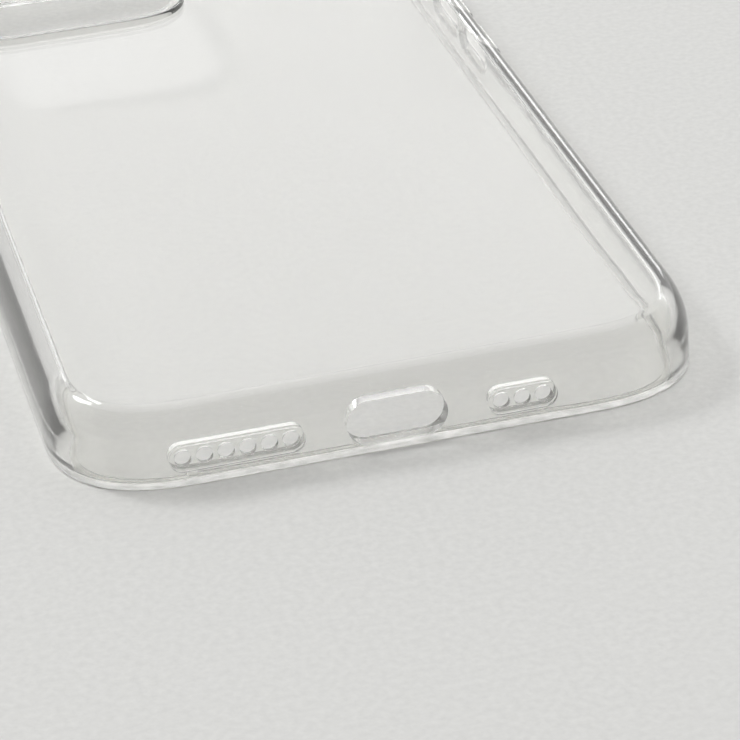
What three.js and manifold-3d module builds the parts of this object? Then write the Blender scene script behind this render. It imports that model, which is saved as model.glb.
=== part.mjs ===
// Clear phone case, lying on its open side with its back up.
//
// Millimetres. +Z points out of the back, +Y towards the camera end, +X towards the volume keys.
// The origin is on the surface the case rests on, under the middle of the case.
//
// A hard clear plate makes the flat of the back. A soft clear bumper is moulded round it: side
// walls, the edges that roll over onto the back, and the lip that holds the phone in. A raised
// ring guards the camera, and three key covers slide in windows in the side walls.

import * as THREE from 'three';
import * as BufferGeometryUtils from 'three/addons/utils/BufferGeometryUtils.js';
import Module from 'manifold-3d';

const wasm = await Module();
wasm.setup();

// ---- the phone that the case fits ----
const PHONE_WIDTH = 71.4;
const PHONE_LENGTH = 144.0;
const PHONE_THICKNESS = 7.8;

// ---- walls ----
const SIDE_WALL = 1.8;
const BACK_THICKNESS = 1.0;
const LIP_STAND = 0.4; // the lip stands this far in front of the phone's glass
const LIP_OVERHANG = 0.8; // and reaches this far over its edge

// ---- round-overs: how far in each one runs, and how much of the height it takes ----
const BACK_EDGE = { run: 3.0, rise: 6.0, steps: 10 };
const SEAT_EDGE = { run: 1.9, rise: 3.4, steps: 8 };
const GLASS_EDGE = { run: 0.15, rise: 0.15, steps: 2 };
const LIP_EDGE = { run: 0.2, rise: 0.2, steps: 3 };

// ---- outline: each corner eases in over its reach, squarer than a circle as its power passes 2 ----
const CORNER_REACH = 15.75;
const CORNER_POWER = 2.6;
const CORNER_STEPS = 12;

// ---- back plate ----
const PLATE_INSET = 3.0; // from the outline of the case to the seam
const SEAM_GAP = 0.1;

// ---- camera opening, in the corner of the back away from the volume keys ----
const CAMERA_WIDTH = 30.4;
const CAMERA_LENGTH = 31.2;
const CAMERA_MARGIN = 6.2; // from the outline of the case, at the side and at the top
const CAMERA_CORNER = 9.0;
const RING_WALL = 1.6;
const RING_RISE = 0.8;
const RING_EDGE = { run: 0.35, rise: 0.35, steps: 3 };

// ---- charging port, through the middle of the bottom wall ----
const PORT_WIDTH = 11.5;
const PORT_HEIGHT = 5.2;
const PORT_ABOVE_GLASS = 3.3; // from the phone's glass to the middle of the port

// ---- speaker and microphone holes, in shallow recesses on each side of the port ----
const SOUND_HOLE_DIAMETER = 1.9;
const SOUND_HOLE_PITCH = 2.43;
const SOUND_ABOVE_GLASS = 2.95;
const SOUND_TO_PORT = 6.25; // from the side of the port to the middle of the nearest hole
const SPEAKER_HOLES = 6;
const MICROPHONE_HOLES = 3;
const RECESS_HEIGHT = 3.1;
const RECESS_DEPTH = 0.35;
const HOLE_WALL = 0.55; // what a relief on the inside leaves of the wall behind the holes

// ---- key covers and the switch slot, in the side walls ----
const VOLUME_KEY_LENGTH = 11.0;
const SIDE_KEY_LENGTH = 17.0;
const KEY_HEIGHT = 2.6;
const KEY_PROUD = 0.6;
const KEY_TRAVEL = 0.35;
const KEY_CLEARANCE = 0.3; // between a key and its window
const KEY_REST_GAP = 0.1; // between the flange and the wall it stops against
const KEY_EDGE = { run: 0.25, rise: 0.25, steps: 3 };
const FLANGE_LIP = 0.7;
const FLANGE_THICKNESS = 0.4;
const VOLUME_UP_FROM_TOP = 37.9; // from the top of the phone to the middle of the key
const SIDE_KEY_FROM_TOP = 43.5;
const VOLUME_KEY_SPACE = 2.4; // between the two volume keys
const SWITCH_SPACE = 3.2; // between the volume-up key and the switch slot
const SWITCH_LENGTH = 8.4;
const SWITCH_HEIGHT = 4.8;
const SWITCH_CORNER = 1.4;

const ROUND_STEPS = 20; // facets of a sound hole
const OVERCUT = 2.0; // how far a cutter runs past the face it cuts

// ---- sizes that follow ----
const CASE_WIDTH = PHONE_WIDTH + 2 * SIDE_WALL;
const CASE_LENGTH = PHONE_LENGTH + 2 * SIDE_WALL;
const SEAT_HEIGHT = LIP_STAND + PHONE_THICKNESS;
const BACK_HEIGHT = SEAT_HEIGHT + BACK_THICKNESS;
const PORT_AXIS = LIP_STAND + PORT_ABOVE_GLASS;
const SOUND_AXIS = LIP_STAND + SOUND_ABOVE_GLASS;
const KEY_AXIS = LIP_STAND + PHONE_THICKNESS / 2;
const KEY_WEB = SIDE_WALL - KEY_REST_GAP - FLANGE_THICKNESS - KEY_TRAVEL - SEAM_GAP;
const PHONE_TOP = PHONE_LENGTH / 2;
const VOLUME_UP_Y = PHONE_TOP - VOLUME_UP_FROM_TOP;
const VOLUME_DOWN_Y = VOLUME_UP_Y - VOLUME_KEY_LENGTH - VOLUME_KEY_SPACE;
const SIDE_KEY_Y = PHONE_TOP - SIDE_KEY_FROM_TOP;
const SWITCH_Y = VOLUME_UP_Y + (VOLUME_KEY_LENGTH + SWITCH_LENGTH) / 2 + SWITCH_SPACE;
const BOTTOM_CUT = SIDE_WALL + LIP_OVERHANG + OVERCUT; // reaches through the wall, corners and all
const CAMERA_X = -CASE_WIDTH / 2 + CAMERA_MARGIN + CAMERA_WIDTH / 2;
const CAMERA_Y = CASE_LENGTH / 2 - CAMERA_MARGIN - CAMERA_LENGTH / 2;

// ---- solids ----

// A three.js geometry as a manifold solid.
function solid(geometry) {
  geometry.deleteAttribute('normal');
  geometry.deleteAttribute('uv');
  const merged = BufferGeometryUtils.mergeVertices(geometry, 1e-4);
  return new wasm.Manifold(new wasm.Mesh({
    numProp: 3,
    vertProperties: Float32Array.from(merged.attributes.position.array),
    triVerts: Uint32Array.from(merged.index.array),
  }));
}

// A manifold solid as a named mesh.
function meshOf(name, body, material) {
  const { vertProperties, triVerts } = body.getMesh();
  const geometry = new THREE.BufferGeometry();
  geometry.setAttribute('position', new THREE.BufferAttribute(vertProperties, 3));
  geometry.setIndex(new THREE.BufferAttribute(triVerts, 1));
  geometry.computeVertexNormals();
  const mesh = new THREE.Mesh(geometry, material);
  mesh.name = name;
  return mesh;
}

// ---- outlines ----

// A rectangle whose corners ease in over `reach`, moved in by `inset` all round.
function easedRectangle(width, length, reach, inset) {
  const points = [];
  for (let corner = 0; corner < 4; corner += 1) {
    const turn = (corner * Math.PI) / 2;
    const halfAcross = (corner % 2 ? length : width) / 2;
    const halfAlong = (corner % 2 ? width : length) / 2;
    for (let step = 0; step <= CORNER_STEPS; step += 1) {
      const angle = (step / CORNER_STEPS) * (Math.PI / 2);
      const c = Math.cos(angle);
      const s = Math.sin(angle);
      const scale = reach / (c ** CORNER_POWER + s ** CORNER_POWER) ** (1 / CORNER_POWER);
      const normal = new THREE.Vector2(c ** (CORNER_POWER - 1), s ** (CORNER_POWER - 1)).normalize();
      const point = new THREE.Vector2(halfAcross - reach + scale * c, halfAlong - reach + scale * s);
      point.addScaledVector(normal, -inset);
      points.push(point.rotateAround(new THREE.Vector2(), turn));
    }
  }
  return new THREE.Shape(points);
}

const caseOutline = (inset) => easedRectangle(CASE_WIDTH, CASE_LENGTH, CORNER_REACH, inset);
const cameraOutline = (outset) => easedRectangle(CAMERA_WIDTH, CAMERA_LENGTH, CAMERA_CORNER, -outset);

// A bar with two round ends, centred on the origin.
function stadium(length, height) {
  const radius = height / 2;
  const straight = length / 2 - radius;
  const shape = new THREE.Shape();
  shape.absarc(straight, 0, radius, -Math.PI / 2, Math.PI / 2, false);
  shape.absarc(-straight, 0, radius, Math.PI / 2, (3 * Math.PI) / 2, false);
  return shape;
}

function roundedBar(length, height, radius) {
  const x = length / 2 - radius;
  const y = height / 2 - radius;
  const shape = new THREE.Shape();
  shape.absarc(x, y, radius, 0, Math.PI / 2, false);
  shape.absarc(-x, y, radius, Math.PI / 2, Math.PI, false);
  shape.absarc(-x, -y, radius, Math.PI, (3 * Math.PI) / 2, false);
  shape.absarc(x, -y, radius, (3 * Math.PI) / 2, 2 * Math.PI, false);
  return shape;
}

// ---- extrusions ----

function prism(shape, low, high) {
  const geometry = new THREE.ExtrudeGeometry(shape, {
    depth: high - low,
    bevelEnabled: false,
    curveSegments: ROUND_STEPS / 2,
  });
  return geometry.translate(0, 0, low);
}

// A prism with both faces rounded over.
function softPrism(shape, low, high, edge) {
  const geometry = new THREE.ExtrudeGeometry(shape, {
    depth: high - low - 2 * edge.rise,
    bevelThickness: edge.rise,
    bevelSize: edge.run,
    bevelOffset: -edge.run,
    bevelSegments: edge.steps,
    curveSegments: ROUND_STEPS / 2,
  });
  return geometry.translate(0, 0, low + edge.rise);
}

// A slab with a different round-over on each face: what two prisms have in common, where each
// one's unwanted round-over lies past the other's face.
function slab(shape, low, high, lowerEdge, upperEdge) {
  const tall = high - low;
  const roundedAbove = solid(softPrism(shape, low - tall, high, upperEdge));
  const roundedBelow = solid(softPrism(shape, low, high + tall, lowerEdge));
  return roundedAbove.intersect(roundedBelow);
}

// Turns an extrusion that stands on +Z so that it points out through a wall: its outline's x and
// y become the wall's own length and height.
const THROUGH_BOTTOM = new THREE.Matrix4().makeBasis(
  new THREE.Vector3(1, 0, 0), new THREE.Vector3(0, 0, 1), new THREE.Vector3(0, -1, 0));
const THROUGH_SIDE = new THREE.Matrix4().makeBasis(
  new THREE.Vector3(0, 1, 0), new THREE.Vector3(0, 0, 1), new THREE.Vector3(1, 0, 0));

function bottomCutter(shape, x, z, low, high) {
  return solid(prism(shape, low, high).applyMatrix4(THROUGH_BOTTOM).translate(x, 0, z));
}

// ---- shell of the whole case, before it is parted into plate and bumper ----

function shell() {
  const outside = slab(caseOutline(0), 0, BACK_HEIGHT, LIP_EDGE, BACK_EDGE);
  const phone = slab(caseOutline(SIDE_WALL), LIP_STAND, SEAT_HEIGHT, GLASS_EDGE, SEAT_EDGE);
  const mouth = solid(prism(caseOutline(SIDE_WALL + LIP_OVERHANG), -OVERCUT, SEAT_HEIGHT / 2));
  return outside.subtract(phone).subtract(mouth);
}

// ---- cut-outs in the bottom wall ----

function portCutter() {
  const bottom = CASE_LENGTH / 2;
  return bottomCutter(
    stadium(PORT_WIDTH, PORT_HEIGHT), 0, PORT_AXIS, bottom - BOTTOM_CUT, bottom + OVERCUT);
}

// A row of sound holes, the recess round them and the relief behind them, going out from the port
// to one side.
function soundCutter(side, count) {
  const bottom = CASE_LENGTH / 2;
  const first = PORT_WIDTH / 2 + SOUND_TO_PORT;
  const row = (count - 1) * SOUND_HOLE_PITCH;
  const middle = side * (first + row / 2);
  const outline = stadium(row + RECESS_HEIGHT, RECESS_HEIGHT);
  const recess = bottomCutter(outline, middle, SOUND_AXIS, bottom - RECESS_DEPTH, bottom + OVERCUT);
  const relief = bottomCutter(
    outline, middle, SOUND_AXIS, bottom - BOTTOM_CUT, bottom - RECESS_DEPTH - HOLE_WALL);
  let cutter = recess.add(relief);
  const hole = new THREE.CylinderGeometry(
    SOUND_HOLE_DIAMETER / 2, SOUND_HOLE_DIAMETER / 2, BOTTOM_CUT + OVERCUT, ROUND_STEPS);
  for (let index = 0; index < count; index += 1) {
    const x = side * (first + index * SOUND_HOLE_PITCH);
    const y = -bottom + (BOTTOM_CUT - OVERCUT) / 2;
    cutter = cutter.add(solid(hole.clone().translate(x, y, SOUND_AXIS)));
  }
  return cutter;
}

// ---- key covers ----

// A key faces +X, with its origin on the outside of the wall. It is put in from inside the case,
// and its flange stops it from coming out.
function keyGeometry(length) {
  const flangeFace = -KEY_WEB - KEY_REST_GAP;
  const capLow = flangeFace - FLANGE_THICKNESS;
  const cap = solid(softPrism(stadium(length, KEY_HEIGHT), capLow - OVERCUT, KEY_PROUD, KEY_EDGE));
  const behind = solid(prism(
    stadium(length + OVERCUT, KEY_HEIGHT + OVERCUT), capLow - 2 * OVERCUT, flangeFace - FLANGE_THICKNESS / 2));
  const flangeShape = stadium(length + 2 * FLANGE_LIP, KEY_HEIGHT + 2 * FLANGE_LIP);
  const flange = solid(prism(flangeShape, capLow, flangeFace));
  return cap.subtract(behind).add(flange);
}

// The window that the key's cap passes through, and the pocket in the wall for its flange.
function keyCutter(length) {
  const window = solid(prism(
    stadium(length + 2 * KEY_CLEARANCE, KEY_HEIGHT + 2 * KEY_CLEARANCE), -SIDE_WALL, OVERCUT));
  const margin = 2 * (FLANGE_LIP + KEY_CLEARANCE);
  const pocket = solid(prism(
    stadium(length + margin, KEY_HEIGHT + margin), -SIDE_WALL - OVERCUT, -KEY_WEB));
  return window.add(pocket);
}

// Where a key or its cutter sits: on the +X wall, or turned round to the -X wall.
function keyPlace(y, side) {
  const place = new THREE.Matrix4().makeTranslation((side * CASE_WIDTH) / 2, y, KEY_AXIS);
  if (side < 0) place.multiply(new THREE.Matrix4().makeRotationZ(Math.PI));
  return place.multiply(THROUGH_SIDE);
}

const KEYS = [
  { name: 'volume_up_button', length: VOLUME_KEY_LENGTH, y: VOLUME_UP_Y, side: 1 },
  { name: 'volume_down_button', length: VOLUME_KEY_LENGTH, y: VOLUME_DOWN_Y, side: 1 },
  { name: 'side_button', length: SIDE_KEY_LENGTH, y: SIDE_KEY_Y, side: -1 },
];

function switchCutter() {
  const slot = prism(
    roundedBar(SWITCH_LENGTH, SWITCH_HEIGHT, SWITCH_CORNER), -SIDE_WALL - OVERCUT, OVERCUT);
  return solid(slot.applyMatrix4(keyPlace(SWITCH_Y, 1)));
}

// ---- the pieces ----

const clearPolycarbonate = new THREE.MeshStandardMaterial({
  color: 0xe3e3e0, roughness: 0.04, metalness: 0, transparent: true, opacity: 0.3 });
const clearSoftPlastic = new THREE.MeshStandardMaterial({
  color: 0xdcdcd8, roughness: 0.1, metalness: 0, transparent: true, opacity: 0.35 });

function placed(body, matrix) {
  return body.transform(matrix.elements);
}

const wholeShell = shell();
const aboveWalls = BACK_HEIGHT + RING_RISE + OVERCUT;

function bumperFrame() {
  let body = wholeShell.subtract(solid(prism(caseOutline(PLATE_INSET), SEAT_HEIGHT / 2, aboveWalls)));
  body = body.subtract(portCutter());
  body = body.subtract(soundCutter(-1, SPEAKER_HOLES));
  body = body.subtract(soundCutter(1, MICROPHONE_HOLES));
  body = body.subtract(switchCutter());
  for (const key of KEYS) {
    body = body.subtract(placed(keyCutter(key.length), keyPlace(key.y, key.side)));
  }
  return meshOf('bumper_frame', body, clearSoftPlastic);
}

function backPlate() {
  const inside = solid(prism(caseOutline(PLATE_INSET + SEAM_GAP), SEAT_HEIGHT / 2, aboveWalls));
  const ringHole = prism(cameraOutline(RING_WALL + SEAM_GAP), SEAT_HEIGHT / 2, aboveWalls);
  const body = wholeShell.intersect(inside).subtract(solid(ringHole.translate(CAMERA_X, CAMERA_Y, 0)));
  return meshOf('back_plate', body, clearPolycarbonate);
}

function cameraRing() {
  const top = BACK_HEIGHT + RING_RISE;
  const low = SEAT_HEIGHT - BACK_HEIGHT;
  const ring = slab(cameraOutline(RING_WALL), SEAT_HEIGHT - BACK_HEIGHT, RING_RISE, RING_EDGE, RING_EDGE);
  const opening = solid(prism(cameraOutline(0), low - OVERCUT, RING_RISE + OVERCUT));
  const mesh = meshOf('camera_ring', ring.subtract(opening), clearSoftPlastic);
  mesh.position.set(CAMERA_X, CAMERA_Y, top - RING_RISE);
  return mesh;
}

function keyCover(key) {
  const mesh = meshOf(key.name, keyGeometry(key.length), clearSoftPlastic);
  mesh.applyMatrix4(keyPlace(key.y, key.side));
  return mesh;
}

const phoneCase = new THREE.Group();
phoneCase.name = 'phone_case';
phoneCase.add(bumperFrame());
phoneCase.add(backPlate());
phoneCase.add(cameraRing());
for (const key of KEYS) phoneCase.add(keyCover(key));

export default phoneCase;
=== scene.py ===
"""Clear phone case: the finished surfaces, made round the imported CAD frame."""

import math

import bmesh
import bpy
from bpy.props import FloatProperty, FloatVectorProperty, IntProperty, PointerProperty
from bpy.types import Operator, Panel, PropertyGroup
from mathutils import Matrix, Vector


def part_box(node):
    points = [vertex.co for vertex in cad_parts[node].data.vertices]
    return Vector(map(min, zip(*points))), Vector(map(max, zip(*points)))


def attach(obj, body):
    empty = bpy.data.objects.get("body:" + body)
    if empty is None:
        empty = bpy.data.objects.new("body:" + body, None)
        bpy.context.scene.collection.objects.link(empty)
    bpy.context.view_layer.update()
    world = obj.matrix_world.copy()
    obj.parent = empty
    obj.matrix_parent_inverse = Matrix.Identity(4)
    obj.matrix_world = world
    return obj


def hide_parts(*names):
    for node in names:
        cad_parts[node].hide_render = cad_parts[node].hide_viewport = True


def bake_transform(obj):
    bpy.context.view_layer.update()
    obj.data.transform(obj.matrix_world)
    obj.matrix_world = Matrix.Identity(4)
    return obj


bl_info = {
    "name": "Clear Phone Case",
    "version": (1, 0, 0),
    "blender": (4, 5, 0),
    "location": "View3D > Sidebar > Phone Case",
    "description": "Models a clear phone case with sprung key covers, and a small studio for it",
    "category": "Add Mesh",
}

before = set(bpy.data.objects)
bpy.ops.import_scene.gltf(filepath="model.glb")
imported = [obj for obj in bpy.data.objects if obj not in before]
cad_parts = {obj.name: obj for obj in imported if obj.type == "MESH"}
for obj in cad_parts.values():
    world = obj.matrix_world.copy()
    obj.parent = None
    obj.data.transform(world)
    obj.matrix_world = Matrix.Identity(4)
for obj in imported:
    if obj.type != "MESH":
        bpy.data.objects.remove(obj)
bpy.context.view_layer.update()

MM = 0.001
CASE_LOW, CASE_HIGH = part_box("bumper_frame")
RING_LOW, RING_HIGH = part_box("camera_ring")
KEY_NODES = {
    "volume_up_button": ("volume_up_key", 1),
    "volume_down_button": ("volume_down_key", 1),
    "side_button": ("side_key", -1),
}
OVERCUT = 2 * MM  # how far a cutter runs past the face it cuts
FLAT_END = 0.05 * MM  # flat left in the middle of a round end, so that its edges have a length
HAIR = 0.001 * MM  # faces nearer than this lie in one plane
SMOOTH_BELOW = math.radians(28)  # edges flatter than this shade smooth

# How finely each round is cut.
OUTER_ROLL_STEPS = 32
SEAT_ROLL_STEPS = 24
GLASS_EDGE_STEPS = 4
SMALL_EDGE_STEPS = 6
PORT_END_STEPS = 24
BAR_END_STEPS = 12
KEY_END_STEPS = 16
BAR_RIM_STEPS = 5
HOLE_FACETS = 48

ROUND = 2.0  # the corner power of a round corner; a higher one is squarer


# ---------------------------------------------------------------- sizes and colours


def length(name, description, default):
    """A size field, in metres."""
    return FloatProperty(
        name=name, description=description, default=default, min=0.0, unit="LENGTH", precision=5
    )


def angle(name, description, degrees):
    """An angle field, with its default given in degrees."""
    return FloatProperty(name=name, description=description, default=math.radians(degrees), subtype="ANGLE")


def colour(name, description, default):
    """A colour field, in linear light."""
    return FloatVectorProperty(
        name=name, description=description, default=default, size=3, min=0.0, max=1.0, subtype="COLOR"
    )


def linear(hex_colour):
    """An sRGB hex colour as linear red, green and blue."""
    channels = [int(hex_colour[i : i + 2], 16) / 255 for i in (1, 3, 5)]
    return [c / 12.92 if c <= 0.04045 else ((c + 0.055) / 1.055) ** 2.4 for c in channels]


class CaseSizes(PropertyGroup):
    width: length("Width", "Outside width of the case", CASE_HIGH.x - CASE_LOW.x)
    long: length("Length", "Outside length of the case", CASE_HIGH.y - CASE_LOW.y)
    back_height: length("Back height", "From the lip to the flat of the back", CASE_HIGH.z)
    side_wall: length("Side wall", "Thickness of the bumper's walls", 1.8 * MM)
    back_thickness: length("Back thickness", "Thickness of the back", 1.0 * MM)
    lip_stand: length("Lip stand", "How far the lip stands in front of the phone's glass", 0.4 * MM)
    lip_overhang: length("Lip overhang", "How far the lip reaches over the glass", 0.8 * MM)
    corner_reach: length("Corner reach", "How far from the corner its curve starts", 15.75 * MM)
    corner_power: FloatProperty(
        name="Corner power", description="2 gives a round corner, more a squarer one", default=2.6, min=2.0
    )
    corner_steps: IntProperty(name="Corner steps", description="Facets of each corner", default=32, min=4)
    back_edge_run: length("Back edge run", "How far in the outer edge rolls over", 3.0 * MM)
    back_edge_rise: length("Back edge rise", "How much of the height the roll takes", 6.0 * MM)
    seat_edge_run: length("Seat edge run", "The same, inside", 1.9 * MM)
    seat_edge_rise: length("Seat edge rise", "The same, inside", 3.4 * MM)
    glass_edge: length("Glass edge", "Radius inside the lip, round the phone's glass", 0.15 * MM)
    lip_edge: length("Lip edge", "Radius on the outside of the lip", 0.2 * MM)
    plate_inset: length("Plate inset", "From the outline to the seam of the back plate", 3.0 * MM)
    seam_gap: length("Seam gap", "Width of the seam between two mouldings", 0.02 * MM)


class CutSizes(PropertyGroup):
    port_width: length("Port width", "Width of the charging port", 11.5 * MM)
    port_height: length("Port height", "Height of the charging port", 5.2 * MM)
    port_axis: length("Port axis", "Height of the middle of the port", 3.7 * MM)
    port_edge: length("Port edge", "Radius on the rim of the charging port", 0.12 * MM)
    hole_diameter: length("Hole diameter", "Diameter of a sound hole", 1.9 * MM)
    hole_pitch: length("Hole pitch", "From one sound hole to the next", 2.43 * MM)
    hole_axis: length("Hole axis", "Height of the middle of the sound holes", 3.35 * MM)
    hole_to_port: length("Hole to port", "From the side of the port to the nearest hole", 6.25 * MM)
    speaker_holes: IntProperty(name="Speaker holes", description="Holes on the -X side", default=6, min=1)
    microphone_holes: IntProperty(
        name="Microphone holes", description="Holes on the +X side", default=3, min=1
    )
    recess_height: length("Recess height", "Height of the recess round the holes", 3.1 * MM)
    recess_depth: length("Recess depth", "Depth of the recess", 0.35 * MM)
    recess_edge: length("Recess edge", "Radius on the rim of the recess", 0.15 * MM)
    hole_edge: length("Hole edge", "Radius on the mouth of a sound hole", 0.05 * MM)
    hole_wall: length("Hole wall", "Thickness of the wall that the sound holes go through", 0.55 * MM)
    switch_length: length("Switch slot length", "Length of the slot for the ring switch", 8.4 * MM)
    switch_height: length("Switch slot height", "Height of the slot", 4.8 * MM)
    switch_corner: length("Switch slot corner", "Corner radius of the slot", 1.4 * MM)
    switch_space: length("Switch space", "From the volume-up key to the slot", 3.2 * MM)
    key_clearance: length("Key clearance", "Between a key and its window", 0.3 * MM)
    key_web: length("Key web", "Thickness of wall in front of a key's flange", 0.85 * MM)
    flange_lip: length("Flange lip", "How far a key's flange stands out round its cap", 0.7 * MM)
    flange_thickness: length("Flange thickness", "Thickness of a key's flange", 0.4 * MM)
    key_edge: length("Key edge", "Radius on the face of a key", 0.3 * MM)
    web_thickness: length("Web thickness", "Thickness of the skin that holds a key", 0.12 * MM)
    web_deep: length("Web deep end", "From the outside of the wall to where the skin starts", 0.75 * MM)
    web_shallow: length("Web shallow end", "From the outside of the wall to where it ends", 0.25 * MM)
    web_gap: length("Web gap", "Room that keeps the skin off the wall and the cap", 0.02 * MM)
    ring_wall: length("Ring wall", "Thickness of the camera ring", 1.6 * MM)
    ring_corner: length("Ring corner", "How far from its corner the ring's curve starts", 10.6 * MM)
    ring_edge: length("Ring edge", "Radius on the top of the camera ring", 0.35 * MM)


class Finishes(PropertyGroup):
    hard_clear: colour("Polycarbonate", "Tint of the back plate", linear("#FEFEFD"))
    soft_clear: colour("TPU", "Tint of the bumper", linear("#FEFEFC"))
    table: colour("Table", "Colour of the table top", linear("#D6D6D4"))


# ---------------------------------------------------------------- modelling helpers


def deselect():
    if bpy.context.mode != "OBJECT":
        bpy.ops.object.mode_set(mode="OBJECT")
    bpy.ops.object.select_all(action="DESELECT")


def make_active(piece):
    deselect()
    piece.select_set(True)
    bpy.context.view_layer.objects.active = piece


def edit(piece, mode="FACE"):
    """Opens a piece for editing by face, edge or corner."""
    make_active(piece)
    bpy.ops.object.mode_set(mode="EDIT")
    bpy.ops.mesh.select_mode(type=mode)


def select_faces(piece, wanted):
    """In edit mode, selects the faces that pass the test and no others."""
    mesh = bmesh.from_edit_mesh(piece.data)
    for face in mesh.faces:
        face.select_set(wanted(face))
    bmesh.update_edit_mesh(piece.data)


def outline_face(name, size, reach, power, steps, centre, rotation=(0, 0, 0), inset=0.0):
    """A flat face whose corners ease in, moved in all round by the inset, left in edit mode."""
    deselect()
    bpy.ops.mesh.primitive_plane_add(size=1, location=centre, rotation=rotation)
    piece = bpy.context.object
    piece.name = name
    piece.data.name = name
    piece.scale = (size[0], size[1], 1)
    bpy.ops.object.transform_apply(location=True, rotation=True, scale=True)
    edit(piece)
    bpy.ops.mesh.select_all(action="SELECT")
    bpy.ops.mesh.bevel(
        offset_type="OFFSET", offset=reach, segments=steps, profile=2 ** (-2 / power), affect="VERTICES"
    )
    bpy.ops.mesh.select_all(action="SELECT")
    if inset > 0:
        bpy.ops.mesh.inset(thickness=inset, depth=0)
        bpy.ops.mesh.select_all(action="INVERT")
        bpy.ops.mesh.delete(type="FACE")
        bpy.ops.mesh.select_all(action="SELECT")
        bpy.ops.mesh.delete_loose(use_verts=True, use_edges=True)
        bpy.ops.mesh.select_all(action="SELECT")
    return piece


def pull(offset):
    """Extrudes the selected face by an offset in the row's axes."""
    bpy.ops.mesh.extrude_region_move(TRANSFORM_OT_translate={"value": offset})


def roll(run, rise, steps):
    """Rolls the selected face over an elliptical edge: in by the run, out by the rise."""
    for step in range(steps):
        a = step / steps * math.pi / 2
        b = (step + 1) / steps * math.pi / 2
        inwards = run * (math.cos(a) - math.cos(b))
        outwards = rise * (math.sin(b) - math.sin(a))
        bpy.ops.mesh.inset(thickness=inwards, depth=outwards)


def close(piece):
    """Turns every face outwards and leaves edit mode."""
    bpy.ops.mesh.select_all(action="SELECT")
    bpy.ops.mesh.normals_make_consistent(inside=False)
    deselect()
    return piece


def modify(piece, kind, **settings):
    """Adds a modifier and applies it."""
    make_active(piece)
    modifier = piece.modifiers.new(kind.title(), kind)
    for key, value in settings.items():
        setattr(modifier, key, value)
    bpy.ops.object.modifier_apply(modifier=modifier.name)


def carve(piece, cutter):
    """Cuts one closed piece out of another, and uses it up."""
    modify(piece, "BOOLEAN", object=cutter, operation="DIFFERENCE", solver="MANIFOLD")
    bpy.data.objects.remove(cutter)
    if not piece.data.polygons:
        raise RuntimeError(f"nothing is left of {piece.name}")


def smooth(piece, material, *areas):
    """Smooths the piece and gives it its material. Each area is another material and a test that
    picks the faces it goes on."""
    make_active(piece)
    bpy.ops.object.shade_smooth_by_angle(angle=SMOOTH_BELOW)
    piece.data.materials.clear()
    piece.data.materials.append(material)
    for index, (other, wanted) in enumerate(areas, 1):
        piece.data.materials.append(other)
        found = [face for face in piece.data.polygons if wanted(face)]
        if not found:
            raise RuntimeError(f"{piece.name} has no face for {other.name}")
        for face in found:
            face.material_index = index
    deselect()


def on_seam(sizes):
    """A test for upright faces within the thickness of the back, and a little below it."""
    margin = 0.4 * MM
    low = sizes.back_height - sizes.back_thickness - margin
    high = sizes.back_height + 0.01 * MM
    return lambda face: abs(face.normal.z) < 0.05 and low < face.center.z < high


def on_lip_face(face):
    """True for the flat that the case rests on."""
    return face.normal.z < -0.99 and face.center.z < 0.01 * MM


def round_end(height):
    """The corner radius that gives a bar of this height round ends."""
    return height / 2 - FLAT_END


def case_prism(name, sizes, inset, low, high):
    """The case's outline, moved in and pulled straight up."""
    piece = outline_face(
        name, (sizes.width, sizes.long), sizes.corner_reach, sizes.corner_power, sizes.corner_steps,
        (0, 0, low), inset=inset,
    )
    pull((0, 0, high - low))
    return close(piece)


def case_slab(name, sizes, inset, low, high, lower_edge, upper_edge):
    """The case's outline with a round-over on each face."""
    piece = outline_face(
        name, (sizes.width, sizes.long), sizes.corner_reach, sizes.corner_power, sizes.corner_steps,
        (0, 0, low + lower_edge[1]), inset=inset,
    )
    start = low + lower_edge[1]
    pull((0, 0, high - upper_edge[1] - start))
    roll(*upper_edge)
    bpy.ops.mesh.select_all(action="SELECT")
    bpy.ops.mesh.normals_make_consistent(inside=False)
    select_faces(piece, lambda f: f.normal.z < -0.9 and abs(f.calc_center_median().z - start) < HAIR)
    roll(*lower_edge)
    return close(piece)


def flare(radius, steps, along=1):
    """Runs the selected face in from a rounded rim: sideways first, then straight on, or straight
    back where `along` is -1."""
    for step in range(steps):
        a = step / steps * math.pi / 2
        b = (step + 1) / steps * math.pi / 2
        inwards = radius * (math.sin(b) - math.sin(a))
        onwards = radius * (math.cos(a) - math.cos(b))
        bpy.ops.mesh.inset(thickness=inwards, depth=along * onwards)


def wall_bar(name, size, corner, centre, side, depth_in, depth_out, steps=BAR_END_STEPS, rim=0.0):
    """A bar through a wall, from outside it, with room for a rounded rim where it goes in. The
    side is "bottom", "left" or "right", and the centre lies on the outside of the wall."""
    out, heading = {
        "bottom": (Vector((0, -1, 0)), 0), "right": (Vector((1, 0, 0)), 90), "left": (Vector((-1, 0, 0)), -90)
    }[side]
    piece = outline_face(
        name, (size[0] + 2 * rim, size[1] + 2 * rim), corner + rim, ROUND, steps,
        Vector(centre) + out * depth_out, rotation=(math.radians(-90), 0, math.radians(heading)),
    )
    if rim:
        pull(out * -depth_out)
        flare(rim, BAR_RIM_STEPS)
        pull(out * (rim - depth_in))
    else:
        pull(out * -(depth_in + depth_out))
    return close(piece)


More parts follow.
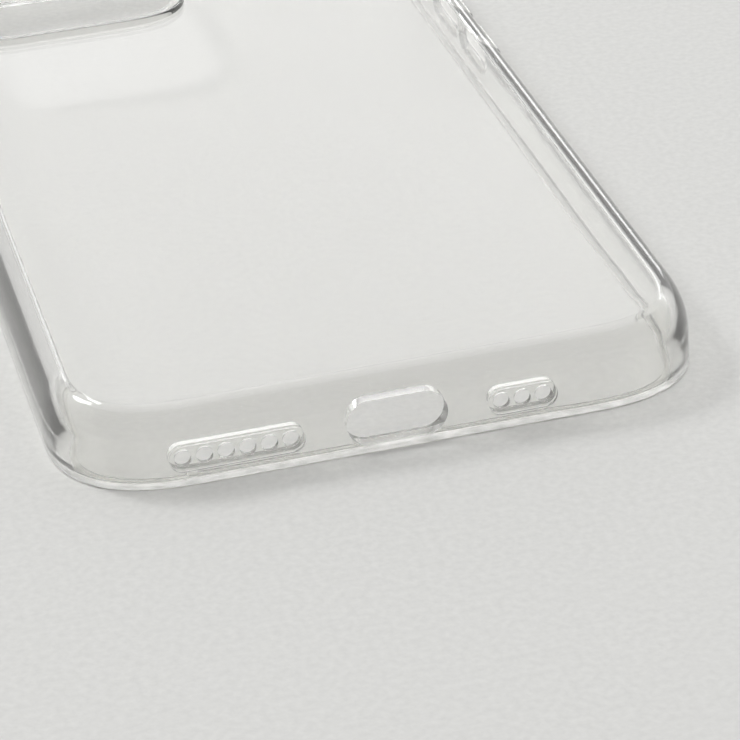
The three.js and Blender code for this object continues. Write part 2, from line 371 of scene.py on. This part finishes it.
def sound_hole(centre, radius, depth_in, depth_out, rim):
    """A round hole up through the bottom wall, with a rounded rim."""
    deselect()
    bpy.ops.mesh.primitive_cylinder_add(
        vertices=HOLE_FACETS, radius=radius + rim, depth=depth_out, rotation=(math.radians(90), 0, 0),
        location=Vector(centre) - Vector((0, depth_out / 2, 0)),
    )
    piece = bpy.context.object
    bpy.ops.object.transform_apply(location=True, rotation=True, scale=True)
    edit(piece)
    select_faces(piece, lambda face: face.normal.y > 0.9)
    flare(rim, SMALL_EDGE_STEPS)
    pull((0, depth_in - rim, 0))
    return close(piece)


# ---------------------------------------------------------------- materials


POLYCARBONATE_IOR = 1.585
TPU_IOR = 1.50


def node(tree, kind, settings=None, links=None):
    """Adds a shader node, sets its fields and inputs, and links its inputs."""
    added = tree.nodes.new(kind)
    for key, value in (settings or {}).items():
        if isinstance(key, str) and hasattr(added, key):
            setattr(added, key, value)
        else:
            added.inputs[key].default_value = value
    for key, socket in (links or {}).items():
        tree.links.new(socket, added.inputs[key])
    return added


def blank_material(name):
    """A material with no nodes in it yet."""
    material = bpy.data.materials.new(name)
    material.use_nodes = True
    material.node_tree.nodes.clear()
    return material


def clear_plastic(name, tint, ior, rough, ripple, clear):
    """A clear moulding, a little short of water-clear. Its gloss varies where it has been handled,
    and its faces carry the long, shallow ripple of a moulded surface."""
    material = blank_material(name)
    tree = material.node_tree
    place = node(tree, "ShaderNodeTexCoord").outputs["Object"]
    flow = node(tree, "ShaderNodeTexNoise", {"Scale": 90.0, "Detail": 1.0}, {"Vector": place})
    wear = node(tree, "ShaderNodeTexNoise", {"Scale": 400.0, "Detail": 3.0}, {"Vector": place})
    gloss = node(
        tree, "ShaderNodeMapRange",
        {"From Min": 0.35, "From Max": 0.75, "To Min": rough * 0.6, "To Max": rough * 1.5},
        {"Value": wear.outputs["Fac"]},
    )
    bump = node(
        tree, "ShaderNodeBump", {"Strength": ripple, "Distance": 0.0002}, {"Height": flow.outputs["Fac"]}
    )
    shader = node(
        tree, "ShaderNodeBsdfPrincipled",
        {"Base Color": (*tint, 1), "Metallic": 0.0, "IOR": ior, "Transmission Weight": clear},
        {"Roughness": gloss.outputs["Result"], "Normal": bump.outputs["Normal"]},
    )
    node(tree, "ShaderNodeOutputMaterial", links={"Surface": shader.outputs["BSDF"]})
    return material


def bonded_seam(name):
    """Where two clear mouldings have melted into each other no surface is left to see."""
    material = blank_material(name)
    clear = node(material.node_tree, "ShaderNodeBsdfTransparent")
    node(material.node_tree, "ShaderNodeOutputMaterial", links={"Surface": clear.outputs["BSDF"]})
    return material


def table_top(name, tint):
    """Pale matt laminate with a fine pressed grain, faint enough to look plain from afar."""
    material = blank_material(name)
    tree = material.node_tree
    place = node(tree, "ShaderNodeTexCoord").outputs["Object"]
    grain = node(tree, "ShaderNodeTexNoise", {"Scale": 1100.0, "Detail": 3.0}, {"Vector": place})
    shade = node(
        tree, "ShaderNodeMapRange", {"From Min": 0.3, "From Max": 0.7, "To Min": 0.96, "To Max": 1.04},
        {"Value": grain.outputs["Fac"]},
    )
    mottled = node(
        tree, "ShaderNodeVectorMath", {"operation": "SCALE", 0: tint}, {"Scale": shade.outputs["Result"]}
    )
    bump = node(
        tree, "ShaderNodeBump", {"Strength": 0.25, "Distance": 0.0001}, {"Height": grain.outputs["Fac"]}
    )
    shader = node(
        tree, "ShaderNodeBsdfPrincipled", {"Roughness": 0.9, "Specular IOR Level": 0.1},
        {"Base Color": mottled.outputs["Vector"], "Normal": bump.outputs["Normal"]},
    )
    node(tree, "ShaderNodeOutputMaterial", links={"Surface": shader.outputs["BSDF"]})
    return material


def material_once(name, maker, **settings):
    """The material of that name, made the first time that it is asked for."""
    return bpy.data.materials.get(name) or maker(name, **settings)


def clear_polycarbonate(scene):
    """Hard, polished sheet: the flattest and clearest part, with the sharpest reflections."""
    return material_once(
        "Clear_polycarbonate", clear_plastic, tint=scene.case_finishes.hard_clear,
        ior=POLYCARBONATE_IOR, rough=0.03, ripple=0.02, clear=0.99,
    )


def clear_tpu(scene):
    """Soft glossy moulding: a trace of milkiness keeps its thick edges from going dark."""
    return material_once(
        "Clear_TPU", clear_plastic, tint=scene.case_finishes.soft_clear,
        ior=TPU_IOR, rough=0.05, ripple=0.03, clear=0.95,
    )


def satin_tpu(scene):
    """The same moulding with a satin face, which shows as an even pale line along the lip."""
    return material_once(
        "Satin_TPU", clear_plastic, tint=scene.case_finishes.soft_clear,
        ior=TPU_IOR, rough=0.5, ripple=0.02, clear=0.95,
    )


def melted_seam():
    """The bond between two shots of plastic: it can't be seen at all."""
    return material_once("Melted_seam", bonded_seam)


# ---------------------------------------------------------------- pieces


def phone_hollow(sizes):
    """The space that the phone takes."""
    seat = sizes.back_height - sizes.back_thickness
    return case_slab(
        "phone_hollow", sizes, sizes.side_wall, sizes.lip_stand, seat,
        (sizes.glass_edge, sizes.glass_edge, GLASS_EDGE_STEPS),
        (sizes.seat_edge_run, sizes.seat_edge_rise, SEAT_ROLL_STEPS),
    )


def key_box(name):
    """The low corner, the high corner and the middle of a key cover."""
    low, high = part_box(name)
    return low, high, (low + high) / 2


class CASE_OT_bumper(Operator):
    """Model the soft bumper: walls, lip, cut-outs and key windows"""

    bl_idname = "case.bumper"
    bl_label = "Bumper Frame"

    def execute(self, context):
        sizes, cuts = context.scene.case_sizes, context.scene.case_cuts
        body = case_slab(
            "bumper", sizes, 0.0, 0.0, sizes.back_height,
            (sizes.lip_edge, sizes.lip_edge, SMALL_EDGE_STEPS),
            (sizes.back_edge_run, sizes.back_edge_rise, OUTER_ROLL_STEPS),
        )
        carve(body, phone_hollow(sizes))
        mouth = sizes.side_wall + sizes.lip_overhang
        carve(body, case_prism("mouth", sizes, mouth, -OVERCUT, sizes.back_height / 2))
        above = sizes.back_height + OVERCUT
        carve(body, case_prism("seam", sizes, sizes.plate_inset, sizes.back_height / 2, above))
        self.cut_bottom(body, sizes, cuts)
        self.cut_sides(body, sizes, cuts)
        smooth(
            body, clear_tpu(context.scene), (melted_seam(), on_seam(sizes)),
            (satin_tpu(context.scene), on_lip_face),
        )
        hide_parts("bumper_frame")
        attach(body, "case")
        return {"FINISHED"}

    def cut_bottom(self, body, sizes, cuts):
        """The charging port, and on each side of it a row of sound holes in their recess, with a
        relief behind them that leaves a thin wall."""
        wall = -sizes.long / 2
        through = sizes.side_wall + sizes.lip_overhang + OVERCUT
        port = (cuts.port_width, cuts.port_height)
        carve(body, wall_bar(
            "port", port, round_end(cuts.port_height), (0, wall, cuts.port_axis), "bottom",
            through, OVERCUT, PORT_END_STEPS, cuts.port_edge,
        ))
        first = cuts.port_width / 2 + cuts.hole_to_port
        corner = round_end(cuts.recess_height)
        relief_start = cuts.recess_depth + cuts.hole_wall
        for side, count in ((-1, cuts.speaker_holes), (1, cuts.microphone_holes)):
            row = (count - 1) * cuts.hole_pitch
            outline = (row + cuts.recess_height, cuts.recess_height)
            middle = (side * (first + row / 2), wall, cuts.hole_axis)
            carve(body, wall_bar(
                "recess", outline, corner, middle, "bottom", cuts.recess_depth, OVERCUT, rim=cuts.recess_edge
            ))
            carve(body, wall_bar("relief", outline, corner, middle, "bottom", through, -relief_start))
            for index in range(count):
                x = side * (first + index * cuts.hole_pitch)
                centre = (x, wall + cuts.recess_depth, cuts.hole_axis)
                carve(body, sound_hole(centre, cuts.hole_diameter / 2, through, OVERCUT, cuts.hole_edge))

    def cut_sides(self, body, sizes, cuts):
        """A window and a flange pocket for each key cover, and the switch slot."""
        gap = 2 * cuts.key_clearance
        through = sizes.side_wall + OVERCUT
        for name, (_, side) in KEY_NODES.items():
            low, high, middle = key_box(name)
            wall = (side * sizes.width / 2, middle.y, middle.z)
            facing = "right" if side > 0 else "left"
            flange = (high.y - low.y, high.z - low.z)
            window = tuple(span - 2 * cuts.flange_lip + gap for span in flange)
            pocket = tuple(span + gap for span in flange)
            carve(body, wall_bar(
                "window", window, round_end(window[1]), wall, facing, sizes.side_wall, OVERCUT
            ))
            carve(body, wall_bar(
                "pocket", pocket, round_end(pocket[1]), wall, facing, through, -cuts.key_web
            ))
        _, high, middle = key_box("volume_up_button")
        y = high.y - cuts.flange_lip + cuts.switch_space + cuts.switch_length / 2
        carve(body, wall_bar(
            "switch", (cuts.switch_length, cuts.switch_height), cuts.switch_corner,
            (sizes.width / 2, y, middle.z), "right", through, OVERCUT,
        ))


class CASE_OT_back_plate(Operator):
    """Model the hard clear back plate with its camera opening"""

    bl_idname = "case.back_plate"
    bl_label = "Back Plate"

    def execute(self, context):
        sizes, cuts = context.scene.case_sizes, context.scene.case_cuts
        body = case_prism(
            "back", sizes, sizes.plate_inset + sizes.seam_gap, sizes.back_height / 2, sizes.back_height
        )
        carve(body, phone_hollow(sizes))
        self.check_underside(body, sizes)
        ring = (RING_LOW + RING_HIGH) / 2
        gap = 2 * sizes.seam_gap
        size = (RING_HIGH.x - RING_LOW.x + gap, RING_HIGH.y - RING_LOW.y + gap)
        cutter = outline_face(
            "camera_hole", size, cuts.ring_corner, sizes.corner_power, sizes.corner_steps,
            (ring.x, ring.y, RING_LOW.z - OVERCUT),
        )
        pull((0, 0, 3 * OVERCUT))
        carve(body, close(cutter))
        smooth(body, clear_polycarbonate(context.scene), (melted_seam(), on_seam(sizes)))
        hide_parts("back_plate")
        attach(body, "case")
        return {"FINISHED"}

    def check_underside(self, body, sizes):
        """Stops if any of the prism that the plate was cut from is left in the phone's space."""
        lowest = min(v.co.z for v in body.data.vertices)
        if lowest < sizes.back_height / 2 + 10 * HAIR:
            raise RuntimeError("the plate reaches down past the phone's seat")


class CASE_OT_camera_ring(Operator):
    """Model the raised ring that guards the camera"""

    bl_idname = "case.camera_ring"
    bl_label = "Camera Ring"

    def execute(self, context):
        sizes, cuts = context.scene.case_sizes, context.scene.case_cuts
        middle = (RING_LOW + RING_HIGH) / 2
        size = (RING_HIGH.x - RING_LOW.x, RING_HIGH.y - RING_LOW.y)
        body = outline_face(
            "ring", size, cuts.ring_corner, sizes.corner_power, sizes.corner_steps,
            (middle.x, middle.y, RING_LOW.z),
        )
        pull((0, 0, sizes.back_height - RING_LOW.z))
        pull((0, 0, RING_HIGH.z - sizes.back_height - cuts.ring_edge))
        roll(cuts.ring_edge, cuts.ring_edge, SMALL_EDGE_STEPS)
        bpy.ops.mesh.inset(thickness=cuts.ring_wall - 2 * cuts.ring_edge, depth=0)
        flare(cuts.ring_edge, SMALL_EDGE_STEPS, along=-1)
        pull((0, 0, RING_LOW.z - RING_HIGH.z + cuts.ring_edge))
        close(body)
        self.open_through(body)
        outside = on_seam(sizes)
        bonded = (melted_seam(), lambda face: outside(face) and self.faces_out(face, middle))
        smooth(body, clear_tpu(context.scene), bonded)
        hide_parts("camera_ring")
        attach(body, "case")
        return {"FINISHED"}

    def faces_out(self, face, middle):
        """True for faces on the ring's outside, which meet the back plate."""
        return face.normal.dot(face.center - middle) > 0

    def open_through(self, body):
        """Takes out the two faces that still close the opening, and joins their rims."""
        edit(body)
        bottom = RING_LOW.z + HAIR
        select_faces(body, lambda f: len(f.verts) > 8 and f.calc_center_median().z < bottom)
        bpy.ops.mesh.delete(type="ONLY_FACE")
        bpy.ops.mesh.select_mode(type="EDGE")
        bpy.ops.mesh.select_all(action="DESELECT")
        bpy.ops.mesh.select_non_manifold(extend=False)
        bpy.ops.mesh.bridge_edge_loops()
        close(body)


class CASE_OT_key_covers(Operator):
    """Model the three key covers and the soft webs that hold them"""

    bl_idname = "case.key_covers"
    bl_label = "Key Covers"

    def execute(self, context):
        scene = context.scene
        for name, (body_name, side) in KEY_NODES.items():
            self.cover(scene, name, body_name, side)
            self.web(scene, name, body_name, side)
        return {"FINISHED"}

    def cover(self, scene, name, body_name, side):
        """A flange with the cap standing on it."""
        cuts = scene.case_cuts
        low, high, middle = key_box(name)
        inner = low.x if side > 0 else high.x
        reach = (high.x - low.x) - cuts.flange_thickness
        size = (high.y - low.y, high.z - low.z)
        piece = outline_face(
            name + "_cover", size, round_end(size[1]), ROUND, KEY_END_STEPS, (inner, middle.y, middle.z),
            rotation=(math.radians(90), 0, math.radians(90 * side)),
        )
        pull((side * cuts.flange_thickness, 0, 0))
        bpy.ops.mesh.inset(thickness=cuts.flange_lip, depth=0)
        pull((side * reach, 0, 0))
        bpy.ops.mesh.bevel(
            offset=cuts.key_edge, segments=SMALL_EDGE_STEPS, profile=0.5, affect="EDGES"
        )
        close(piece)
        smooth(piece, clear_tpu(scene))
        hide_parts(name)
        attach(piece, body_name)

    def web(self, scene, name, body_name, side):
        """A thin cone from the wall of the window up to the side of the cap."""
        cuts = scene.case_cuts
        low, high, middle = key_box(name)
        wall = side * scene.case_sizes.width / 2
        deep = wall - side * cuts.web_deep
        shallow = wall - side * cuts.web_shallow
        inside_window = 2 * (cuts.flange_lip - cuts.key_clearance) + cuts.web_gap
        size = (high.y - low.y - inside_window, high.z - low.z - inside_window)
        piece = outline_face(
            name + "_web", size, round_end(size[1]), ROUND, KEY_END_STEPS, (deep, middle.y, middle.z),
            rotation=(math.radians(90), 0, math.radians(90 * side)),
        )
        across = cuts.key_clearance - 2 * cuts.web_gap
        bpy.ops.mesh.inset(thickness=across, depth=abs(shallow - deep))
        bpy.ops.mesh.delete(type="ONLY_FACE")
        close(piece)
        modify(piece, "SOLIDIFY", thickness=cuts.web_thickness, offset=0.0)
        smooth(piece, clear_tpu(scene))
        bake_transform(piece)


# ---------------------------------------------------------------- stage


LIGHT_DISTANCE = 1.5

# Each soft light: bearing from +Y towards +X and height, in degrees, side in metres, brightness.
WINDOWS = {
    "left_window": (-40, 45, 0.4, 14.0),  # casts the soft shadow in front of the lip
    "right_window": (28, 11, 0.3, 3.0),  # seen in the right-hand roll-over
}

# The room: where it is brightest, in degrees, and how bright it is on that side and opposite it.
# It fades between two cosines of the angle from its brightest point.
ROOM_BEARING, ROOM_HEIGHT = 14, 22
ROOM_BRIGHT, ROOM_DIM = 1.22, 0.38
FADE_END, FADE_START = -0.3, 0.8

TABLE_SPAN = 6  # metres, so that its edge is out of sight
LIGHT_BOUNCES = 24  # light turns many times inside clear walls before it gets out
TABLE_GAP = 0.05 * MM  # air under the lip, without which the lip's face would not reflect


class StageSizes(PropertyGroup):
    azimuth: angle("Azimuth", "Camera's bearing", -12.5)
    elevation: angle("Elevation", "Camera's height", 28.3)
    roll: angle("Roll", "Camera's tilt", -4.1)
    distance: length("Distance", "From the camera to its target", 0.3955)
    lens: FloatProperty(name="Lens", description="Focal length in millimetres", default=170.6)
    target: FloatVectorProperty(
        name="Target", description="The point that the camera looks at", size=3,
        default=(-0.00018, -0.06233, 0.0040), subtype="TRANSLATION",
    )


def towards(bearing, height):
    """The direction at a bearing from +Y towards +X and a height above the table."""
    return Vector((
        math.sin(bearing) * math.cos(height), math.cos(bearing) * math.cos(height), math.sin(height)
    ))


def area_light(name, bearing, height, distance, size, brightness, target):
    """A soft box at a bearing and height, turned to the target. A white card under the same
    brightness all round would come out at that brightness."""
    direction = towards(bearing, height)
    data = bpy.data.lights.new(name, "AREA")
    data.shape = "RECTANGLE"
    data.size, data.size_y = size
    data.energy = brightness * math.pi * size[0] * size[1]
    light = bpy.data.objects.new(name, data)
    light.matrix_world = (
        Matrix.Translation(Vector(target) + direction * distance)
        @ direction.to_track_quat("Z", "Y").to_matrix().to_4x4()
    )
    bpy.context.scene.collection.objects.link(light)
    return light


class CASE_OT_stage(Operator):
    """Set up the table top, the soft lights and the camera"""

    bl_idname = "case.stage"
    bl_label = "Stage"

    def execute(self, context):
        scene = context.scene
        self.table(scene)
        self.lights(scene)
        self.camera(scene)
        return {"FINISHED"}

    def table(self, scene):
        deselect()
        bpy.ops.mesh.primitive_plane_add(size=TABLE_SPAN, location=(0, 0, -TABLE_GAP))
        top = bpy.context.object
        top.name = "table_top"
        top.data.materials.append(table_top("Matt_laminate", scene.case_finishes.table))

    def lights(self, scene):
        scene.world = self.room()
        target = tuple(scene.case_stage.target)
        for name, (bearing, height, side, brightness) in WINDOWS.items():
            area_light(
                name, math.radians(bearing), math.radians(height), LIGHT_DISTANCE, (side, side),
                brightness, target,
            )
        scene.view_settings.view_transform = "Standard"
        scene.cycles.blur_glossy = 0.0
        scene.cycles.max_bounces = LIGHT_BOUNCES
        scene.cycles.transmission_bounces = LIGHT_BOUNCES
        scene.cycles.transparent_max_bounces = LIGHT_BOUNCES

    def room(self):
        """A pale room that is brightest low down on the far side and falls off smoothly."""
        world = bpy.data.worlds.new("Studio")
        world.use_nodes = True
        tree = world.node_tree
        bright = towards(math.radians(ROOM_BEARING), math.radians(ROOM_HEIGHT))
        facing = node(
            tree, "ShaderNodeVectorMath", {"operation": "DOT_PRODUCT", 1: bright},
            {0: node(tree, "ShaderNodeTexCoord").outputs["Generated"]},
        )
        glow = node(
            tree, "ShaderNodeMapRange",
            {
                "interpolation_type": "SMOOTHSTEP", "From Min": FADE_END, "From Max": FADE_START,
                "To Min": ROOM_DIM, "To Max": ROOM_BRIGHT,
            },
            {"Value": facing.outputs["Value"]},
        )
        background = tree.nodes["Background"]
        background.inputs["Color"].default_value = (1.0, 0.998, 0.995, 1)
        tree.links.new(glow.outputs["Result"], background.inputs["Strength"])
        return world

    def camera(self, scene):
        stage = scene.case_stage
        away = Vector((
            math.sin(stage.azimuth) * math.cos(stage.elevation),
            -math.cos(stage.azimuth) * math.cos(stage.elevation),
            math.sin(stage.elevation),
        ))
        level = Vector((math.cos(stage.azimuth), math.sin(stage.azimuth), 0))
        up = away.cross(level)
        right = math.cos(stage.roll) * level + math.sin(stage.roll) * up
        up = math.cos(stage.roll) * up - math.sin(stage.roll) * level
        data = bpy.data.cameras.new("Camera")
        data.lens = stage.lens
        data.sensor_width = 36
        data.clip_start = 0.01
        camera = bpy.data.objects.new("Camera", data)
        turn = Matrix((right, up, away)).transposed().to_4x4()
        camera.matrix_world = Matrix.Translation(Vector(stage.target) + away * stage.distance) @ turn
        scene.collection.objects.link(camera)
        scene.camera = camera


# ---------------------------------------------------------------- add-on


class CASE_PT_panel(Panel):
    """Sizes and steps of the phone case"""

    bl_label = "Phone Case"
    bl_idname = "CASE_PT_panel"
    bl_space_type = "VIEW_3D"
    bl_region_type = "UI"
    bl_category = "Phone Case"

    def draw(self, context):
        for operator in OPERATORS:
            self.layout.operator(operator.bl_idname)
        for group in SETTINGS:
            box = self.layout.box()
            settings = getattr(context.scene, group)
            for name in settings.bl_rna.properties.keys():
                if name not in {"rna_type", "name"}:
                    box.prop(settings, name)


OPERATORS = (CASE_OT_stage, CASE_OT_bumper, CASE_OT_back_plate, CASE_OT_camera_ring, CASE_OT_key_covers)
SETTINGS = {
    "case_sizes": CaseSizes,
    "case_cuts": CutSizes,
    "case_finishes": Finishes,
    "case_stage": StageSizes,
}
CLASSES = (*SETTINGS.values(), *OPERATORS, CASE_PT_panel)


def register():
    for cls in CLASSES:
        bpy.utils.register_class(cls)
    for name, group in SETTINGS.items():
        setattr(bpy.types.Scene, name, PointerProperty(type=group))


def unregister():
    for name in SETTINGS:
        delattr(bpy.types.Scene, name)
    for cls in reversed(CLASSES):
        bpy.utils.unregister_class(cls)


def main():
    register()
    bpy.ops.case.stage()
    bpy.ops.case.bumper()
    bpy.ops.case.back_plate()
    bpy.ops.case.camera_ring()
    bpy.ops.case.key_covers()
    bpy.context.view_layer.update()


if __name__ == "__main__":
    main()
